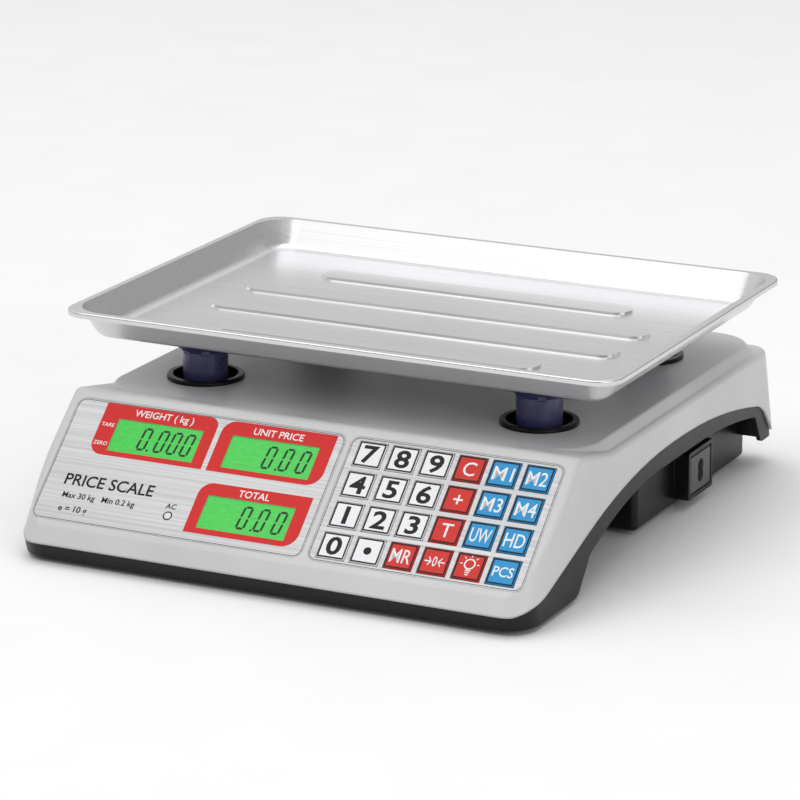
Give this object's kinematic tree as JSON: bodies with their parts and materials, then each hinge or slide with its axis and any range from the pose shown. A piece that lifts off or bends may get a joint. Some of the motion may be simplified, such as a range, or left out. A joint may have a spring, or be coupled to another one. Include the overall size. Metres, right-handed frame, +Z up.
{
  "type": "price computing scale",
  "caption": "Counter-top electronic scale: ribbed steel pan on posts over a moulded body, sloping front panel with displays and a key block, arched base, mains inlet.",
  "frame": {"origin": "on the table under the middle of the body", "axes": "+X to the right seen from the keys, +Y from the keys to the back, +Z up"},
  "size_m": [0.34, 0.36, 0.121],
  "materials": {
    "housing": "light grey moulded shell, fine satin grain",
    "base": "black moulded base, semi-gloss",
    "collar": "black collars",
    "post": "dark blue-black posts",
    "pan": "stainless sheet, brushed along the width",
    "label": "silver label with printed marks",
    "key_white": "white key with dark legend",
    "key_red": "red key with white legend",
    "key_blue": "blue key with white legend",
    "display": "green back-lit display with dark digits",
    "board": "green circuit board",
    "lamp": "red lamp lens",
    "inlet": "dark moulded insert",
    "pins": "plated pins",
    "rocker": "black rocker",
    "foot": "black rubber-faced foot",
    "cell": "machined bar",
    "frame": "cast frame",
    "screw": "plated screws",
    "battery": "black battery case",
    "transformer": "laminated core and coil"
  },
  "bodies": {
    "base": {"upper_housing": "housing", "lower_housing": "base", "post_collars": "collar", "housing_screws": "screw", "display_label": "label", "keypad_label": "label", "lcd_weight": "display", "lcd_unit_price": "display", "lcd_total": "display", "display_board": "board", "ac_lamp": "lamp", "keypad_circuit": "board", "rear_window": "label", "rear_lcd": "display", "power_inlet": "inlet", "inlet_pins": "pins", "switch_frame": "inlet", "load_cell": "cell", "load_cell_mount": "frame", "load_cell_bolts": "screw", "battery": "battery", "battery_door": "base", "transformer": "transformer", "main_board": "board"},
    "platform": {"pan_frame": "frame", "pan_frame_bolts": "screw", "pan_post_front_left": "post", "pan_post_front_right": "post", "pan_post_rear_left": "post", "pan_post_rear_right": "post"},
    "pan": {"weighing_pan": "pan"},
    "key_7": {"key_7": "key_white"},
    "key_8": {"key_8": "key_white"},
    "key_9": {"key_9": "key_white"},
    "key_clear": {"key_clear": "key_red"},
    "key_m1": {"key_m1": "key_blue"},
    "key_m2": {"key_m2": "key_blue"},
    "key_4": {"key_4": "key_white"},
    "key_5": {"key_5": "key_white"},
    "key_6": {"key_6": "key_white"},
    "key_add": {"key_add": "key_red"},
    "key_m3": {"key_m3": "key_blue"},
    "key_m4": {"key_m4": "key_blue"},
    "key_1": {"key_1": "key_white"},
    "key_2": {"key_2": "key_white"},
    "key_3": {"key_3": "key_white"},
    "key_tare": {"key_tare": "key_red"},
    "key_unit_weight": {"key_unit_weight": "key_blue"},
    "key_steady": {"key_steady": "key_blue"},
    "key_0": {"key_0": "key_white"},
    "key_dot": {"key_dot": "key_white"},
    "key_store": {"key_store": "key_red"},
    "key_zero": {"key_zero": "key_red"},
    "key_light": {"key_light": "key_red"},
    "key_count": {"key_count": "key_blue"},
    "rocker": {"power_rocker": "rocker"},
    "foot_front_left": {"levelling_foot_front_left": "foot"},
    "foot_front_right": {"levelling_foot_front_right": "foot"},
    "foot_rear_left": {"levelling_foot_rear_left": "foot"},
    "foot_rear_right": {"levelling_foot_rear_right": "foot"}
  },
  "joints": [
    {"name": "platform_press", "type": "slide", "parent": "base", "child": "platform", "axis": [0, 0, -1], "range_m": [0, 0.0006], "stiffness_N_per_m": 20000, "springref_m": -0.002, "deforming": ["load_cell"]},
    {"name": "pan_lift", "type": "slide", "parent": "platform", "child": "pan", "axis": [0, 0, 1], "range_m": [0, 0.03]},
    {"name": "key_7_press", "type": "slide", "parent": "base", "child": "key_7", "axis": [0, 0.6737, -0.739], "range_m": [0, 0.0005], "stiffness_N_per_m": 1500, "springref_m": -0.0003},
    {"name": "key_8_press", "type": "slide", "parent": "base", "child": "key_8", "axis": [0, 0.6737, -0.739], "range_m": [0, 0.0005], "stiffness_N_per_m": 1500, "springref_m": -0.0003},
    {"name": "key_9_press", "type": "slide", "parent": "base", "child": "key_9", "axis": [0, 0.6737, -0.739], "range_m": [0, 0.0005], "stiffness_N_per_m": 1500, "springref_m": -0.0003},
    {"name": "key_clear_press", "type": "slide", "parent": "base", "child": "key_clear", "axis": [0, 0.6737, -0.739], "range_m": [0, 0.0005], "stiffness_N_per_m": 1500, "springref_m": -0.0003},
    {"name": "key_m1_press", "type": "slide", "parent": "base", "child": "key_m1", "axis": [0, 0.6737, -0.739], "range_m": [0, 0.0005], "stiffness_N_per_m": 1500, "springref_m": -0.0003},
    {"name": "key_m2_press", "type": "slide", "parent": "base", "child": "key_m2", "axis": [0, 0.6737, -0.739], "range_m": [0, 0.0005], "stiffness_N_per_m": 1500, "springref_m": -0.0003},
    {"name": "key_4_press", "type": "slide", "parent": "base", "child": "key_4", "axis": [0, 0.6737, -0.739], "range_m": [0, 0.0005], "stiffness_N_per_m": 1500, "springref_m": -0.0003},
    {"name": "key_5_press", "type": "slide", "parent": "base", "child": "key_5", "axis": [0, 0.6737, -0.739], "range_m": [0, 0.0005], "stiffness_N_per_m": 1500, "springref_m": -0.0003},
    {"name": "key_6_press", "type": "slide", "parent": "base", "child": "key_6", "axis": [0, 0.6737, -0.739], "range_m": [0, 0.0005], "stiffness_N_per_m": 1500, "springref_m": -0.0003},
    {"name": "key_add_press", "type": "slide", "parent": "base", "child": "key_add", "axis": [0, 0.6737, -0.739], "range_m": [0, 0.0005], "stiffness_N_per_m": 1500, "springref_m": -0.0003},
    {"name": "key_m3_press", "type": "slide", "parent": "base", "child": "key_m3", "axis": [0, 0.6737, -0.739], "range_m": [0, 0.0005], "stiffness_N_per_m": 1500, "springref_m": -0.0003},
    {"name": "key_m4_press", "type": "slide", "parent": "base", "child": "key_m4", "axis": [0, 0.6737, -0.739], "range_m": [0, 0.0005], "stiffness_N_per_m": 1500, "springref_m": -0.0003},
    {"name": "key_1_press", "type": "slide", "parent": "base", "child": "key_1", "axis": [0, 0.6737, -0.739], "range_m": [0, 0.0005], "stiffness_N_per_m": 1500, "springref_m": -0.0003},
    {"name": "key_2_press", "type": "slide", "parent": "base", "child": "key_2", "axis": [0, 0.6737, -0.739], "range_m": [0, 0.0005], "stiffness_N_per_m": 1500, "springref_m": -0.0003},
    {"name": "key_3_press", "type": "slide", "parent": "base", "child": "key_3", "axis": [0, 0.6737, -0.739], "range_m": [0, 0.0005], "stiffness_N_per_m": 1500, "springref_m": -0.0003},
    {"name": "key_tare_press", "type": "slide", "parent": "base", "child": "key_tare", "axis": [0, 0.6737, -0.739], "range_m": [0, 0.0005], "stiffness_N_per_m": 1500, "springref_m": -0.0003},
    {"name": "key_unit_weight_press", "type": "slide", "parent": "base", "child": "key_unit_weight", "axis": [0, 0.6737, -0.739], "range_m": [0, 0.0005], "stiffness_N_per_m": 1500, "springref_m": -0.0003},
    {"name": "key_steady_press", "type": "slide", "parent": "base", "child": "key_steady", "axis": [0, 0.6737, -0.739], "range_m": [0, 0.0005], "stiffness_N_per_m": 1500, "springref_m": -0.0003},
    {"name": "key_0_press", "type": "slide", "parent": "base", "child": "key_0", "axis": [0, 0.6737, -0.739], "range_m": [0, 0.0005], "stiffness_N_per_m": 1500, "springref_m": -0.0003},
    {"name": "key_dot_press", "type": "slide", "parent": "base", "child": "key_dot", "axis": [0, 0.6737, -0.739], "range_m": [0, 0.0005], "stiffness_N_per_m": 1500, "springref_m": -0.0003},
    {"name": "key_store_press", "type": "slide", "parent": "base", "child": "key_store", "axis": [0, 0.6737, -0.739], "range_m": [0, 0.0005], "stiffness_N_per_m": 1500, "springref_m": -0.0003},
    {"name": "key_zero_press", "type": "slide", "parent": "base", "child": "key_zero", "axis": [0, 0.6737, -0.739], "range_m": [0, 0.0005], "stiffness_N_per_m": 1500, "springref_m": -0.0003},
    {"name": "key_light_press", "type": "slide", "parent": "base", "child": "key_light", "axis": [0, 0.6737, -0.739], "range_m": [0, 0.0005], "stiffness_N_per_m": 1500, "springref_m": -0.0003},
    {"name": "key_count_press", "type": "slide", "parent": "base", "child": "key_count", "axis": [0, 0.6737, -0.739], "range_m": [0, 0.0005], "stiffness_N_per_m": 1500, "springref_m": -0.0003},
    {"name": "power_switch", "type": "hinge", "parent": "base", "child": "rocker", "pos_m": [-0.1444, 0.07796, 0.02025], "axis": [0, 0, 1], "range_deg": [0, 20]},
    {"name": "foot_front_left_adjust", "type": "slide", "parent": "base", "child": "foot_front_left", "axis": [0, 0, -1], "range_m": [0, 0.006]},
    {"name": "foot_front_right_adjust", "type": "slide", "parent": "base", "child": "foot_front_right", "axis": [0, 0, -1], "range_m": [0, 0.006]},
    {"name": "foot_rear_left_adjust", "type": "slide", "parent": "base", "child": "foot_rear_left", "axis": [0, 0, -1], "range_m": [0, 0.006]},
    {"name": "foot_rear_right_adjust", "type": "slide", "parent": "base", "child": "foot_rear_right", "axis": [0, 0, -1], "range_m": [0, 0.006]}
  ]
}
